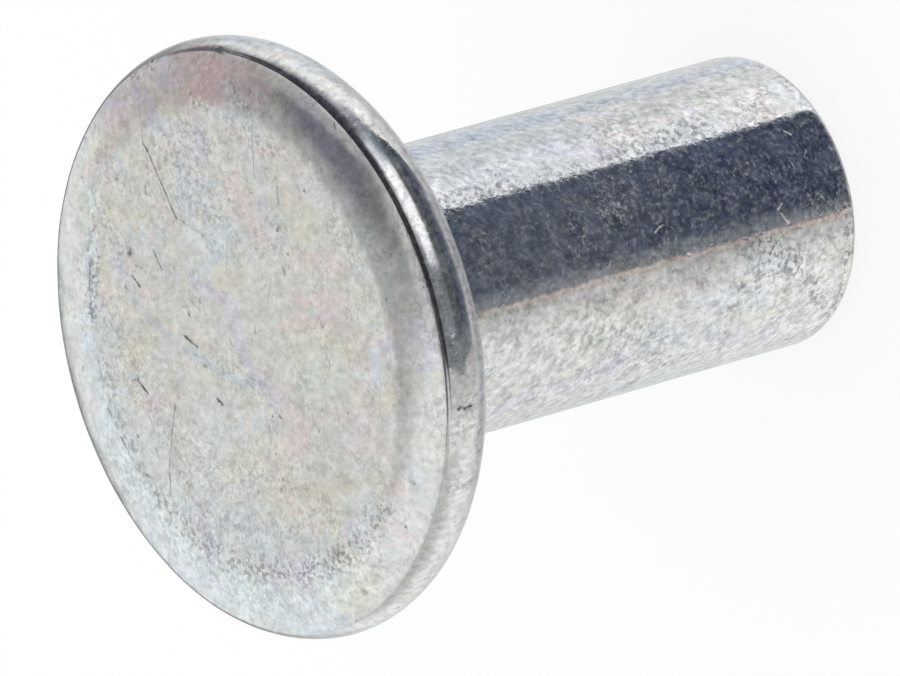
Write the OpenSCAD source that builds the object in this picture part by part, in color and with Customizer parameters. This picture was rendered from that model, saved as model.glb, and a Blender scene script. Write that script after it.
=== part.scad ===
// Brake shoe rivet: a steel semi-tubular rivet with a wide flat head, cold headed in one piece.
// It stands on the end of its shank with the head up. The origin is the middle of that end.

/* [Shank] */
// Diameter of the straight shank
shank_d = 8; // [7:0.1:10]
// Length of the shank, from the bearing face under the head to the end
shank_len = 16.6; // [12:0.1:40]
// Radius of the worn outer edge at the end of the shank
end_edge_r = 0.2; // [0.05:0.05:0.5]
// Radius of the fillet where the shank meets the bearing face
neck_fillet_r = 0.35; // [0.1:0.05:1]

/* [Head] */
// Diameter of the head over its widest ring
head_d = 16.26; // [14:0.02:22]
// Height of the head, from the bearing face to the flat middle of the top
head_h = 1.73; // [1.5:0.01:3]
// Diameter of the flat middle of the top
flat_d = 12; // [8:0.1:14.5]
// Radius of the convex border, which leaves the flat middle tangent to it
border_r = 6.6; // [3:0.1:20]
// Radius of the rim in front of its widest ring
rim_front_r = 1; // [0.85:0.01:1.6]
// Depth of the widest ring below the flat middle, where the front round of the rim starts
rim_front_h = 0.93; // [0.6:0.01:1.1]
// Radius of the rim behind its widest ring
rim_back_r = 0.96; // [0.8:0.01:1.6]
// Height of the widest ring above the bearing face, where the back round of the rim starts
rim_back_h = 0.78; // [0.5:0.01:0.79]
// Radius that breaks the front edge, between the border and the rim
front_edge_r = 0.25; // [0.05:0.01:0.4]

/* [Clinch bore] */
// Diameter of the blind bore in the end of the shank
bore_d = 5.6; // [4:0.1:6.4]
// Depth of the straight wall of the bore, from the end of the shank
bore_depth = 8; // [4:0.1:11]
// Included angle of the conical bottom of the bore, in degrees
bore_tip_angle = 120; // [90:1:150]
// Width of the chamfer round the mouth of the bore
mouth_chamfer = 0.3; // [0.1:0.05:0.6]

/* [Hidden] */

// Colour of the bright zinc plate
zinc = [0.78, 0.80, 0.82];

// Smoothness of every round
$fn = 180;
// How far a cut runs past the face that it opens
past = 1;
// How far the front edge round laps the two arcs that it joins, so that it crosses them cleanly
lap = 0.0005;

shank_r = shank_d / 2;
bore_r = bore_d / 2;
flat_r = flat_d / 2;
ring_r = head_d / 2;

// Height of the flat middle above the end of the shank
top_z = shank_len + head_h;

// Middles of the three arcs of the head, as radius and height
border_mid = [flat_r, top_z - border_r];
front_mid = [ring_r - rim_front_r, top_z - rim_front_h];
back_mid = [ring_r - rim_back_r, shank_len + rim_back_h];

// Crossing, on the outer side, of a circle about a and a circle about b
function crossing(a, a_r, b, b_r) = let(
    span = b - a,
    gap = norm(span),
    along = (gap * gap + a_r * a_r - b_r * b_r) / (2 * gap),
    aside = sqrt(a_r * a_r - along * along)
) a + (along * span + aside * [span.y, -span.x]) / gap;

// Middle of the small round that touches the border and the rim from inside
edge_mid = crossing(border_mid, border_r - front_edge_r, front_mid, rim_front_r - front_edge_r);

function unit(v) = v / norm(v);

// A block of the section from the axis out to radius r, between two heights
module block(r, low, high) {
    translate([0, low]) square([r, high - low]);
}

// All that lies under the flat middle and the convex border
module under_border() {
    block(flat_r, shank_len, top_z);
    translate(border_mid) circle(border_r);
}

// All that lies inside the widest ring and the round in front of it
module inside_front() {
    block(ring_r, shank_len, front_mid.y);
    block(front_mid.x, front_mid.y, top_z);
    translate(front_mid) circle(rim_front_r);
}

// All that lies inside the widest ring and the round behind it
module inside_back() {
    block(ring_r, back_mid.y, top_z);
    block(back_mid.x, shank_len, back_mid.y);
    translate(back_mid) circle(rim_back_r);
}

// The sharp corner between border and rim, out to where the small round touches them
module front_corner() {
    polygon([
        edge_mid,
        edge_mid + past * unit(edge_mid - border_mid),
        edge_mid + past * unit([1, 1]),
        edge_mid + past * unit(edge_mid - front_mid)
    ]);
}

// Flat middle, convex border, crisp front edge and barrelled rim
module head_section() {
    difference() {
        intersection() {
            block(ring_r + past, shank_len, top_z + past);
            under_border();
            inside_front();
            inside_back();
        }
        front_corner();
    }
    translate(edge_mid) circle(front_edge_r + lap);
}

// Straight shank with its worn end edge and the fillet under the head
module shank_section() {
    fillet_mid = [shank_r + neck_fillet_r, shank_len - neck_fillet_r];
    block(shank_r, end_edge_r, shank_len);
    block(shank_r - end_edge_r, 0, end_edge_r);
    translate([shank_r - end_edge_r, end_edge_r]) circle(end_edge_r);
    difference() {
        block(fillet_mid.x, fillet_mid.y, shank_len);
        translate(fillet_mid) circle(neck_fillet_r);
    }
}

// Blind bore that the setting tool flares into a clinch, with its cone and chamfer
module bore_section() {
    mouth_r = bore_r + mouth_chamfer;
    tip_z = bore_depth + bore_r / tan(bore_tip_angle / 2);
    polygon([
        [0, -past],
        [mouth_r, -past],
        [mouth_r, 0],
        [bore_r, mouth_chamfer],
        [bore_r, bore_depth],
        [0, tip_z]
    ]);
}

module rivet() {
    color(zinc) rotate_extrude() difference() {
        union() {
            head_section();
            shank_section();
        }
        bore_section();
    }
}

rivet();
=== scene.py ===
"""Brake shoe rivet of zinc-plated steel: its finished shape and plating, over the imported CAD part."""

import math

import bpy
import numpy as np
from mathutils import Matrix, Vector, noise


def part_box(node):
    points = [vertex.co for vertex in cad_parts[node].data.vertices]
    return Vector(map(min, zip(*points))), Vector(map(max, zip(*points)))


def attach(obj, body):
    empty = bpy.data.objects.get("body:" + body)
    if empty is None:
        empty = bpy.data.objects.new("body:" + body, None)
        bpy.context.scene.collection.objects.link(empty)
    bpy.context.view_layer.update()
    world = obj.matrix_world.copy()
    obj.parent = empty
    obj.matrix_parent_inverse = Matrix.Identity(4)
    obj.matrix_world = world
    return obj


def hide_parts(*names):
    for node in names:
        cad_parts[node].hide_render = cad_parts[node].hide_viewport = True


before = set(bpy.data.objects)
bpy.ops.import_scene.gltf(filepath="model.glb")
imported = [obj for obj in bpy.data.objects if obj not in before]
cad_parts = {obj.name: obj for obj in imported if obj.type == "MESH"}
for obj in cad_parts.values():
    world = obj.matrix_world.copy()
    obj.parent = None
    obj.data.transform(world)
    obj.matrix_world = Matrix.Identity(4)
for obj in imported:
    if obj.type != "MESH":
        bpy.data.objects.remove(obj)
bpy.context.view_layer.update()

# Sizes in metres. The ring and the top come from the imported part.
MM = 0.001
MICRON = 1e-6
part_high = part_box("rivet")[1]
RING_R = part_high.x
TOP_Z = part_high.z
HEAD_H = 1.73 * MM
BEARING_Z = TOP_Z - HEAD_H
SHANK_R = 4.0 * MM
END_EDGE_R = 0.2 * MM
NECK_FILLET_R = 0.35 * MM
FLAT_R = 6.0 * MM
BORDER_R = 6.6 * MM
RIM_FRONT_R = 1.0 * MM
RIM_FRONT_H = 0.93 * MM
RIM_BACK_R = 0.96 * MM
RIM_BACK_H = 0.78 * MM
FRONT_EDGE_R = 0.25 * MM
BORE_R = 2.8 * MM
BORE_DEPTH = 8.0 * MM
BORE_TIP_SLOPE = math.tan(math.radians(30))
MOUTH_CHAMFER = 0.3 * MM

# Middles of the three arcs of the head, as radius and height
BORDER_MID = (FLAT_R, TOP_Z - BORDER_R)
FRONT_MID = (RING_R - RIM_FRONT_R, TOP_Z - RIM_FRONT_H)
BACK_MID = (RING_R - RIM_BACK_R, BEARING_Z + RIM_BACK_H)

# Steps of the turning, round the axis
SEGMENTS = 320
# Gap under which two points of the turned surface become one
WELD_GAP = 2e-8
# Angle up to which two faces are shaded as one smooth surface
SMOOTH_ANGLE = math.radians(28)

# Finer faces round the marks, in two goes: margin round a mark, and cuts in each face
REFINEMENTS = ((0.11 * MM, 1), (0.045 * MM, 2))

# Unevenness of the surface: name, size of the waves, depth, and vertex group where it isn't all over
WAVES = (
    ("slow waves", 2.4 * MM, 0.010 * MM, ""),
    ("quick waves", 0.7 * MM, 0.003 * MM, ""),
    ("rim waves", 1.3 * MM, 0.016 * MM, "rim"),
)

# Radius from which the head is wavier, and the width over which that sets in
WAVY_RIM_R = 7.2 * MM
WAVY_RIM_BLEND = 0.5 * MM

# How far the stain of a mark reaches, and how far a mark is followed, in shares of its half width
STAIN_REACH = 1.45
MARK_REACH = 2.2

# Raggedness of a mark's edge: size of the noise, and its strength
EDGE_RAGS = ((0.16 * MM, 0.8), (0.06 * MM, 0.5))

# How deep a mark is pressed along its way, as a share: middle, swing, size of the noise, least, most
PRESS_MIDDLE = 0.85
PRESS_SWING = 0.9
PRESS_WAVE = 0.2 * MM
PRESS_LEAST = 0.35
PRESS_MOST = 1.25

# A painted patch is full near its path, and fades out at twice its half width
PAINT_PEAK = 1.3
PAINT_FALL = 0.65

# Handling marks on the top: name, path in mm, half width and depth in micrometres, and stain from 0 to
# 1, or below 0 for a mark that shows pale
TOP_MARKS = [
    ("long scratch, start", [(7.22, 1.55), (6.96, 1.53), (6.33, 1.59), (5.84, 1.74)], 26, 3, 0.35),
    ("long scratch, bend", [(5.84, 1.74), (5.60, 1.63)], 42, 9, 0.7),
    ("long scratch, run", [(5.60, 1.63), (4.84, 1.48), (3.69, 1.23)], 32, 6, 0.55),
    ("long scratch, dot", [(3.55, 0.96)], 55, 8, 0.9),
    ("long scratch, tail", [(3.45, 0.90), (2.80, -0.12)], 24, 2, 0.3),
    ("lower scratch", [(3.05, 2.54), (2.48, 2.42)], 32, 5, 0.5),
    ("tick", [(4.74, 2.15), (4.53, 2.20)], 34, 5, 0.5),
    ("short tick", [(5.28, 1.82), (5.17, 1.85)], 34, 4, 0.4),
    ("round pit", [(3.17, 3.56)], 135, 14, 0.95),
    ("left dot", [(5.14, 3.25)], 70, 9, 1.0),
    ("right dot", [(2.72, -2.84)], 66, 8, 0.9),
    ("middle dot", [(2.73, 0.27)], 50, 5, 0.6),
    ("dot by the border", [(4.32, -3.93)], 50, 6, 0.5),
    ("straight line", [(5.65, -3.03), (5.15, -2.78), (4.23, -2.45)], 26, 3, 0.3),
    ("blue line", [(3.97, -3.29), (3.30, -3.12)], 50, 3, 0.3),
    ("left crease, top", [(4.27, 4.43), (3.96, 4.89), (3.54, 5.27)], 60, 6, 0.4),
    ("left crease", [(3.20, 5.30), (2.63, 5.59), (1.85, 5.86)], 50, 8, 0.55),
    ("left crease, foot", [(2.00, 5.70), (1.80, 5.86)], 60, 10, 0.8),
    ("edge dash", [(0.67, 6.94), (0.48, 6.99)], 42, 9, 0.9),
    ("thin line", [(0.71, 6.11), (0.33, 6.15), (-0.10, 6.22)], 30, 3, 0.4),
    ("crinkle", [(-0.64, 6.29), (-1.20, 6.09)], 60, 6, 0.45),
    ("second crinkle", [(-1.51, 6.05), (-1.98, 5.90)], 50, 6, 0.45),
    ("third crinkle", [(-2.38, 5.82), (-2.76, 5.18)], 42, 5, 0.4),
    ("dot by the crinkle", [(-1.55, 5.34)], 62, 8, 0.9),
    ("squiggle", [(-1.04, 3.43), (-1.66, 3.85), (-2.16, 4.13), (-2.66, 4.44), (-3.31, 4.66)], 34, 5, 0.6),
    ("dash by the squiggle", [(-2.00, 4.74), (-2.28, 4.74)], 34, 5, 0.5),
    ("hook, start", [(-0.10, 4.95), (-0.09, 4.68)], 34, 7, 0.6),
    ("hook", [(-0.09, 4.68), (-0.39, 4.54), (-0.53, 4.43)], 50, 14, 1.0),
    ("bold dash", [(0.67, 2.27), (0.30, 1.86)], 42, 11, 0.9),
    ("faint dash", [(0.11, 2.04), (-0.04, 1.79)], 34, 4, 0.35),
    ("slanted dash", [(2.58, 3.72), (2.24, 3.52)], 42, 9, 0.75),
    ("dot under the dash", [(2.30, 4.14)], 58, 8, 0.8),
    ("long dot", [(1.22, 1.80), (1.12, 1.82)], 46, 7, 0.7),
    ("dot in the middle", [(1.41, 1.22)], 60, 7, 0.8),
    ("grey spot", [(-0.24, 1.75)], 70, 6, 0.55),
    ("light-sided dash", [(-1.16, 1.64), (-1.36, 1.46)], 42, 10, 0.7),
    ("small nick", [(0.40, -0.75), (0.24, -0.71)], 36, 8, 0.7),
    ("dot by the nick", [(0.25, -0.95)], 42, 7, 0.6),
    ("lower dot", [(-2.06, -0.74)], 58, 7, 0.8),
    ("second lower dot", [(-2.40, 0.12)], 42, 6, 0.5),
    ("third lower dot", [(-2.22, 1.50)], 46, 6, 0.5),
    ("lower squiggle", [(-2.20, 2.60), (-2.30, 2.34)], 30, 5, 0.5),
    ("right dash", [(1.66, -2.55), (1.49, -2.57)], 34, 5, 0.5),
    ("right line", [(1.59, -2.04), (0.96, -1.58)], 26, 3, 0.3),
    ("pit on the border", [(-4.63, -5.28), (-4.55, -5.20)], 80, 9, 0.5),
    ("low pit", [(-7.10, -2.01)], 100, 10, 0.5),
    ("bruise on the edge", [(7.70, -1.98), (7.61, -2.08), (7.53, -2.24)], 110, 12, 0.6),
]

# Marks on the shank: the path is given as turns in degrees and heights in mm
SHANK_MARKS = [
    ("flake", [(46.8, 3.91), (47.9, 3.59), (43.7, 3.59)], 60, 10, -0.5),
    ("bright hair", [(24.0, 1.50), (21.6, 1.35)], 30, 11, -0.7),
    ("bright dot", [(15.3, 3.19)], 50, 14, -1.0),
    ("bright curl", [(-1.1, 7.01), (0.1, 6.87), (0.7, 6.68)], 40, 13, -1.0),
    ("bright hair by the end", [(-5.6, 2.72), (-3.8, 2.54)], 32, 11, -0.9),
    ("bright stroke", [(-7.5, 2.62), (-11.9, 2.43)], 36, 12, -1.0),
    ("thin hair", [(10.4, 1.77), (8.2, 1.74)], 28, 8, -0.5),
    ("hair in the middle", [(14.0, 1.10), (11.5, 1.30)], 26, 6, -0.5),
    ("first speck by the edge", [(-12.6, 6.05), (-13.4, 6.00)], 36, 6, -0.8),
    ("second speck by the edge", [(-11.8, 5.20)], 34, 6, -0.7),
    ("third speck by the edge", [(-12.4, 4.05), (-13.0, 3.98)], 34, 6, -0.8),
    ("fourth speck by the edge", [(-12.8, 3.35)], 32, 6, -0.7),
    ("fifth speck by the edge", [(-13.8, 2.10), (-14.6, 2.02)], 40, 6, -0.9),
    ("sixth speck by the edge", [(-12.2, 1.25)], 40, 6, -0.8),
    ("dark stroke", [(-17.1, 5.97), (-20.2, 5.85), (-24.4, 5.78)], 36, 9, 0.7),
    ("dark dash", [(-19.8, 5.34), (-20.8, 5.44)], 40, 6, 0.5),
    ("vee", [(-28.6, 4.48), (-32.7, 4.27), (-30.8, 4.07)], 40, 7, 0.6),
    ("dark tick", [(-24.5, 3.73), (-27.7, 3.76)], 34, 6, 0.55),
    ("dark blot", [(-30.8, 3.67)], 62, 9, 0.85),
    ("scuffs", [(-19.2, 3.40), (-23.3, 2.83), (-28.1, 2.10)], 70, 5, 0.3),
    ("smudge", [(-38.5, 4.59), (-43.0, 4.21)], 60, 6, 0.45),
    ("dark oval", [(-61.2, 3.92), (-60.4, 3.82)], 55, 11, 0.95),
    ("dark dot", [(-62.3, 6.21)], 58, 11, 0.95),
    ("dot by the head", [(-65.9, 7.91)], 62, 11, 0.9),
    ("dash", [(-60.0, 5.80), (-59.0, 5.26)], 32, 6, 0.6),
    ("slanted dash", [(-54.8, 2.27), (-63.4, 2.24)], 36, 8, 0.65),
    ("low dot", [(-72.4, 2.09)], 46, 7, 0.6),
    ("crease at the end", [(-19.0, 1.15), (-28.7, 0.64)], 44, 6, 0.4),
    ("line at the end", [(-51.6, 0.37), (-46.5, 0.36)], 40, 7, 0.6),
    ("faint dash", [(-34.6, 8.97), (-35.7, 8.28)], 34, 4, 0.35),
    ("dashes by the end", [(-35.4, 2.18), (-38.0, 1.56)], 32, 5, 0.45),
    ("strokes by the end", [(-28.2, 2.57), (-37.7, 2.29)], 30, 7, -0.4),
    ("first stroke behind", [(112.0, 9.20), (118.0, 8.60)], 36, 8, 0.5),
    ("second stroke behind", [(150.0, 4.10), (158.0, 4.60)], 36, 9, 0.6),
    ("dot behind", [(-140.0, 11.3)], 58, 10, 0.9),
    ("scuff behind", [(-110.0, 3.40), (-116.0, 2.50)], 60, 6, 0.4),
    ("third stroke behind", [(-165.0, 7.70), (-167.0, 6.60)], 34, 8, 0.6),
]

# Marks on the rim of the head: the path is given as turns in degrees and heights in mm
RIM_MARKS = [
    ("nick across the rim", [(-22.7, 17.82), (-22.6, 17.66), (-22.4, 17.48)], 56, 30, 0.8),
    ("nick behind", [(140.0, 17.80), (142.0, 17.50)], 60, 20, 0.6),
    ("bruise on the rim", [(72.0, 17.60), (66.0, 17.70)], 90, 12, 0.3),
]

# Scuffed places on the top, full of crumbs and crinkles: path in mm, half width in mm, strength
TOP_SCUFFS = [
    ([(6.69, -0.73), (6.57, -0.82), (6.40, -1.12), (6.28, -1.30)], 0.13, 0.8),
    ([(6.16, -2.62), (6.05, -2.72), (5.90, -2.84)], 0.11, 1.0),
    ([(6.75, -2.24), (6.43, -2.57)], 0.13, 0.6),
    ([(7.70, 1.56), (7.60, 1.38)], 0.12, 1.0),
    ([(7.76, 1.02), (7.70, 0.72)], 0.10, 0.8),
    ([(4.80, 4.50), (3.90, 4.90), (3.05, 5.31)], 0.18, 0.5),
    ([(3.10, 5.25), (2.15, 5.75), (1.85, 5.88)], 0.20, 0.9),
    ([(0.60, 5.90), (-1.10, 5.95), (-2.60, 5.60)], 0.22, 0.55),
    ([(-3.36, 5.19), (-4.46, 4.35), (-5.34, 3.19)], 0.32, 0.75),
    ([(-5.34, 3.19), (-5.85, 1.77), (-6.15, 0.24)], 0.30, 0.8),
    ([(-6.15, 0.24), (-6.17, -1.07), (-5.87, -2.51)], 0.30, 0.9),
    ([(-5.87, -2.51), (-5.20, -3.89)], 0.26, 0.75),
    ([(-2.80, 4.00), (-4.30, 3.30)], 0.18, 0.5),
    ([(5.60, 0.90), (3.60, -0.30)], 0.50, 0.45),
    ([(5.90, -0.20), (5.30, -0.70)], 0.35, 0.45),
    ([(4.70, 4.35), (3.20, 3.90)], 0.35, 0.4),
    ([(-0.30, 1.20), (-1.40, -0.40)], 0.35, 0.35),
    ([(5.50, -2.20), (4.60, -3.60)], 0.30, 0.45),
    ([(2.40, -5.10), (1.20, -5.50)], 0.28, 0.4),
    ([(0.50, 5.20), (-0.60, 5.00)], 0.30, 0.4),
    ([(-4.20, 3.90), (-5.00, 1.20), (-4.90, -1.60)], 0.45, 0.35),
    ([(-2.00, 6.60), (-4.60, 5.00), (-6.30, 2.60), (-6.90, 0.00), (-6.40, -2.60)], 0.55, 0.32),
    ([(1.60, 5.10), (-1.40, 4.40), (-3.20, 2.60), (-3.90, -0.60)], 0.60, 0.30),
    ([(5.60, 3.60), (4.30, 2.40), (4.40, 0.20), (4.90, -1.20)], 0.50, 0.26),
]

# The same on the shank: paths as turns in degrees and heights in mm
SHANK_SCUFFS = [
    ([(-17, 3.5), (-22, 3.0), (-28, 2.3)], 0.40, 1.0),
    ([(-26, 3.6), (-33, 2.8)], 0.28, 0.7),
    ([(31, 6.9), (36, 5.4), (36, 3.9)], 0.36, 0.9),
    ([(30, 10.5), (31, 8.4)], 0.20, 0.8),
    ([(30, 3.6), (31, 1.6)], 0.16, 0.7),
    ([(32, 14.5), (33, 11.0)], 0.28, 0.9),
    ([(44, 7.2), (47, 5.6)], 0.30, 0.7),
    ([(38, 2.2), (44, 1.2)], 0.25, 0.7),
    ([(-33, 9.6), (-40, 7.6), (-48, 6.6)], 0.24, 0.6),
    ([(-52, 8.2), (-60, 6.4)], 0.22, 0.6),
    ([(-38, 1.6), (-52, 0.9)], 0.30, 0.8),
    ([(-5, 0.35), (-30, 0.3), (-62, 0.3)], 0.18, 1.0),
    ([(50, 0.3), (20, 0.3), (-5, 0.35)], 0.12, 0.8),
    ([(-6, 1.5), (-9, 0.5)], 0.30, 0.9),
    ([(16, 4.6), (4, 3.0), (12, 1.2)], 0.45, 0.5),
    ([(120, 6.0), (135, 5.0)], 0.40, 0.8),
    ([(-130, 10.0), (-145, 9.0)], 0.35, 0.8),
    ([(175, 2.0), (160, 1.0)], 0.30, 0.8),
]

# Patches where the plate has a faint colour: paths in mm across the top, and half width in mm
TOP_PATCHES = {
    "blue": [
        ([(4.20, 0.71), (4.18, -0.35)], 0.39),
        ([(3.13, 0.80), (2.95, -0.81)], 0.39),
        ([(3.58, -0.03), (3.94, -0.15)], 0.27),
        ([(6.32, 1.23), (5.95, 0.13)], 0.27),
        ([(5.65, 0.22), (5.13, 0.37), (4.59, 0.75)], 0.18),
        ([(5.80, 2.90), (5.31, 2.92)], 0.21),
        ([(4.76, 4.45), (3.85, 4.85), (3.05, 5.31), (2.15, 5.81)], 0.24),
        ([(-0.48, -5.47)], 0.30),
        ([(-1.18, -5.29), (-1.88, -5.10)], 0.24),
        ([(-2.00, 1.18), (-1.93, 0.00)], 0.24),
        ([(0.28, 5.86), (-1.03, 5.92)], 0.33),
        ([(1.41, 5.80), (-1.53, 6.30), (-3.68, 5.90), (-5.40, 4.67), (-6.64, 2.57), (-7.50, 0.03)], 0.70),
        ([(-3.95, 4.11), (-4.87, 1.86), (-5.98, -0.72)], 0.65),
        ([(-5.58, -2.43), (-4.81, -3.52)], 0.30),
        ([(5.88, -1.78), (5.57, -2.87)], 0.21),
        ([(2.47, 0.21), (2.22, 0.63)], 0.18),
        ([(-4.62, 5.17), (-4.66, 3.99)], 0.27),
    ],
    "violet": [
        ([(7.57, 0.53), (7.38, -0.25)], 0.33),
        ([(7.20, 3.01), (6.92, 2.55)], 0.30),
        ([(5.79, -0.77), (5.10, -0.50)], 0.30),
        ([(5.45, -4.85), (4.54, -5.44), (3.60, -6.11)], 0.35),
        ([(3.13, 4.19), (2.61, 4.07)], 0.24),
        ([(2.09, 5.84)], 0.21),
        ([(7.03, 1.65), (6.67, 1.10)], 0.27),
        ([(-1.66, -0.65)], 0.27),
        ([(0.20, 0.00)], 0.21),
        ([(-3.74, 3.75), (-5.27, 3.61)], 0.24),
        ([(-5.95, 1.47), (-6.13, 0.01)], 0.24),
        ([(-0.87, -7.22), (-1.65, -7.08)], 0.36),
        ([(-1.02, -5.92)], 0.27),
    ],
    "warm grey": [
        ([(-1.2, -1.4), (-3.4, -2.0)], 1.0),
    ],
    "pale blue": [
        ([(-1.8, 5.3), (-3.6, 5.0), (-5.2, 4.1), (-6.2, 2.4)], 1.0),
        ([(-2.2, 2.4), (-3.6, 2.6), (-5.0, 1.6)], 0.9),
    ],
    "blue streak": [
        ([(3.21, 4.20), (2.45, 4.15), (1.77, 3.85), (1.12, 3.25), (0.45, 2.55)], 0.13),
        ([(0.45, 2.55), (-0.01, 1.87), (-0.45, 1.29), (-0.86, 0.49), (-1.15, -0.38)], 0.15),
    ],
    "violet streak": [
        ([(1.99, 1.18), (1.61, 0.58), (1.11, 0.03)], 0.15),
        ([(1.11, 0.03), (0.56, 0.06), (0.02, 0.08), (-0.56, -0.10)], 0.28),
        ([(-0.56, -0.10), (-1.02, -0.44), (-1.67, -1.02)], 0.18),
    ],
    "deep rose": [
        ([(6.95, -1.00), (6.70, -1.77)], 0.42),
        ([(7.60, -0.60), (7.05, -2.40), (6.30, -3.60)], 0.42),
    ],
    "rose": [
        ([(6.69, 3.31), (6.59, 2.34)], 0.24),
        ([(4.06, -1.58), (3.23, -1.64), (2.56, -1.77)], 0.36),
        ([(1.69, -3.31), (1.38, -4.74)], 0.30),
        ([(0.73, -2.88), (0.40, -4.47)], 0.21),
        ([(0.25, -2.22), (0.02, -3.87)], 0.21),
        ([(2.34, 4.91)], 0.24),
        ([(2.94, 3.74)], 0.18),
        ([(2.13, 3.35)], 0.21),
        ([(3.35, 2.34)], 0.18),
        ([(-0.81, 4.82), (-0.80, 3.75)], 0.21),
        ([(-1.79, -1.12), (-2.58, -1.60), (-2.99, -0.76)], 0.42),
        ([(-1.69, 1.26)], 0.18),
        ([(-4.26, -0.18)], 0.18),
        ([(-5.08, -0.73)], 0.18),
        ([(-4.61, -4.59)], 0.30),
        ([(-6.00, -3.98)], 0.42),
        ([(-1.98, 3.75)], 0.12),
        ([(5.46, 5.14), (5.61, 4.34)], 0.21),
        ([(5.48, -2.18)], 0.21),
        ([(1.25, -4.86)], 0.24),
    ],
    "straw": [
        ([(6.00, 4.11), (6.10, 3.07)], 0.36),
        ([(5.15, 5.24), (5.59, 4.55)], 0.24),
        ([(0.62, 5.43), (0.72, 3.95)], 0.33),
        ([(1.77, 0.26), (1.85, -0.88)], 0.33),
        ([(-0.40, -2.37), (-0.72, -4.19)], 0.54),
        ([(-3.17, 2.20), (-3.06, 0.77)], 0.33),
        ([(-4.15, 0.43), (-4.56, -2.02), (-5.34, -0.13)], 0.51),
        ([(-0.28, 3.24), (-0.84, 3.50)], 0.15),
        ([(2.60, -3.07), (2.33, -3.95)], 0.18),
        ([(3.64, -3.32), (2.99, -3.90)], 0.42),
        ([(-2.29, -5.44), (-2.34, -4.98)], 0.30),
        ([(4.26, 3.94), (3.97, 2.28)], 0.21),
        ([(-7.19, -0.47), (-7.01, -1.86)], 0.36),
    ],
    "green": [
        ([(5.06, 4.63), (4.03, 4.96)], 0.27),
        ([(-0.80, 6.52), (-1.23, 6.39)], 0.24),
        ([(-6.50, -1.33), (-6.91, -1.30)], 0.27),
        ([(2.97, 0.51), (2.26, -1.15)], 0.21),
        ([(-1.12, -3.36), (-1.48, -2.32)], 0.48),
        ([(2.06, -6.08), (1.13, -6.43), (0.33, -6.66)], 0.39),
        ([(3.73, 6.59), (1.66, 7.36)], 0.18),
    ],
}

# The same on the shank: paths as turns in degrees and heights in mm
SHANK_PATCHES = {
    # Bluer and darker on the upper shank towards the head, and in a small patch lower down.
    "cool veil": [
        ([(52, 15.5), (52, 9.5)], 2.4),
        ([(26, 6.5), (26, 4.0)], 0.8),
    ],
    "blue": [
        ([(58, 12.3), (50, 11.3)], 0.37),
        ([(44, 0.8), (35, 0.4)], 0.26),
        ([(-31, 6.0), (-38, 3.4)], 0.29),
        ([(-42, 7.3), (-55, 3.9)], 0.29),
        ([(-24, 4.1), (-26, 2.6)], 0.21),
        ([(-71, 7.8), (-78, 5.7)], 0.24),
        ([(48, 9.6), (43, 8.6)], 0.24),
    ],
    "violet": [
        ([(75, 9.8), (58, 6.2)], 0.13),
        ([(-45, 7.6), (-50, 7.1)], 0.21),
        ([(43, 8.6), (37, 7.4)], 0.24),
        ([(-60, 12.6), (-53, 8.1)], 0.26),
    ],
    "rose": [
        ([(51, 1.2), (40, 1.4), (32, 1.8)], 0.16),
        ([(32, 11.3), (33, 11.1)], 0.13),
        ([(42, 7.2), (41, 5.8)], 0.18),
        ([(-23, 8.6), (-26, 5.7)], 0.16),
        ([(-13, 2.1), (-14, 0.6)], 0.13),
        ([(43, 4.7), (44, 3.8)], 0.16),
    ],
    "deep rose": [
        ([(-14, 1.1), (-14, 0.8)], 0.12),
    ],
    "straw": [
        ([(46, 3.3), (45, 2.6)], 0.24),
        ([(-24, 10.7), (-31, 6.0)], 0.32),
        ([(-37, 10.6), (-40, 9.1)], 0.37),
        ([(-22, 1.3), (-34, 0.4), (-44, 0.3)], 0.32),
        ([(40, 8.0), (37, 6.0)], 0.16),
        ([(-45, 4.2), (-50, 2.1)], 0.18),
        ([(-51, 10.5), (-51, 9.2)], 0.26),
    ],
    "green": [
        ([(-71, 3.1), (-70, 0.4)], 0.16),
        ([(-39, 2.3), (-46, 1.3)], 0.24),
        ([(-30, 10.7), (-33, 9.2)], 0.24),
    ],
}


def deselect_all():
    bpy.ops.object.select_all(action="DESELECT")


def make_active(piece):
    deselect_all()
    piece.select_set(True)
    bpy.context.view_layer.objects.active = piece


# Profile of the rivet


def crossing(a, a_r, b, b_r):
    """Outer crossing of a circle about a and a circle about b."""
    span_x, span_z = b[0] - a[0], b[1] - a[1]
    gap = math.hypot(span_x, span_z)
    along = (gap * gap + a_r * a_r - b_r * b_r) / (2 * gap)
    aside = math.sqrt(a_r * a_r - along * along)
    return (
        a[0] + (along * span_x + aside * span_z) / gap,
        a[1] + (along * span_z - aside * span_x) / gap,
    )


def heading(a, b):
    """Angle of the line from a to b, in the plane of the profile."""
    return math.atan2(b[1] - a[1], b[0] - a[0])


def arc(mid, radius, start, end, steps):
    """Points of an arc after its first one."""
    turns = [start + (end - start) * k / steps for k in range(1, steps + 1)]
    return [(mid[0] + radius * math.cos(t), mid[1] + radius * math.sin(t)) for t in turns]


def line(start, end, steps):
    """Points of a straight run after its first one."""
    return [
        (start[0] + (end[0] - start[0]) * k / steps, start[1] + (end[1] - start[1]) * k / steps)
        for k in range(1, steps + 1)
    ]


def bore_run():
    """From the tip of the bore, along its wall, to its mouth in the end of the shank."""
    points = [(0, BORE_DEPTH + BORE_R * BORE_TIP_SLOPE)]
    points += line(points[-1], (BORE_R, BORE_DEPTH), steps=6)
    points += line(points[-1], (BORE_R, MOUTH_CHAMFER), steps=8)
    points += line(points[-1], (BORE_R + MOUTH_CHAMFER, 0), steps=3)
    return points


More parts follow.
